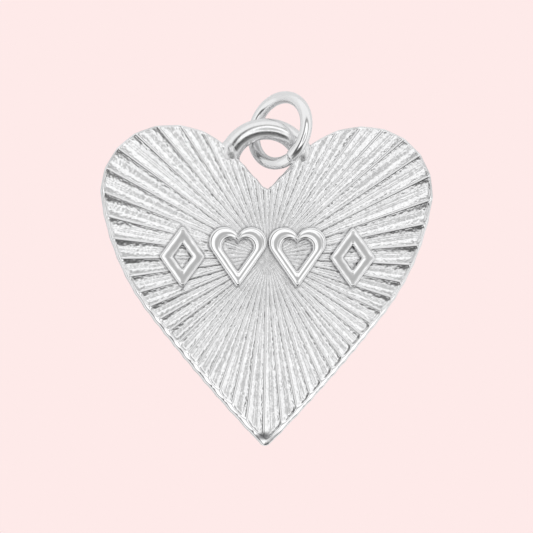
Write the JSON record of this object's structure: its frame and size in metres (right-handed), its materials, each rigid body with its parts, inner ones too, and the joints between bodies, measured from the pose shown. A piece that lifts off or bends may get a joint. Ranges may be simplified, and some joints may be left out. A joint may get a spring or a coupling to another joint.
{
  "type": "heart pendant",
  "caption": "Flat heart pendant with a sunburst-fluted face, a row of raised outline motifs, a wire bail soldered across the notch and a loose jump ring for a chain.",
  "frame": {"origin": "on the flat back face, straight below the centre of the sunburst", "axes": "+Z out of the fluted face, +Y towards the notch and the bail, +X to the right seen from the front; the pendant lies on its back"},
  "size_m": [0.022, 0.0234, 0.0041],
  "materials": {
    "plate": "satin flutes between bright polished crests and rim",
    "ornament": "bright polished silver",
    "bail": "bright polished silver",
    "solder": "bright polished silver solder",
    "ring": "bright polished silver"
  },
  "bodies": {
    "pendant": {"heart_plate": "plate", "ornament_lozenge_left": "ornament", "ornament_heart_left": "ornament", "ornament_heart_right": "ornament", "ornament_lozenge_right": "ornament", "bail_loop": "bail", "bail_solder_left": "solder", "bail_solder_right": "solder"},
    "link": {"jump_ring": "ring"}
  },
  "joints": [
    {"name": "ring_tip", "type": "hinge", "parent": "pendant", "child": "link", "pos_m": [-0.00085, 0.00769, 0.00072], "axis": [0.0784, -0.9321, 0.3536], "range_deg": [-5, 70]}
  ]
}
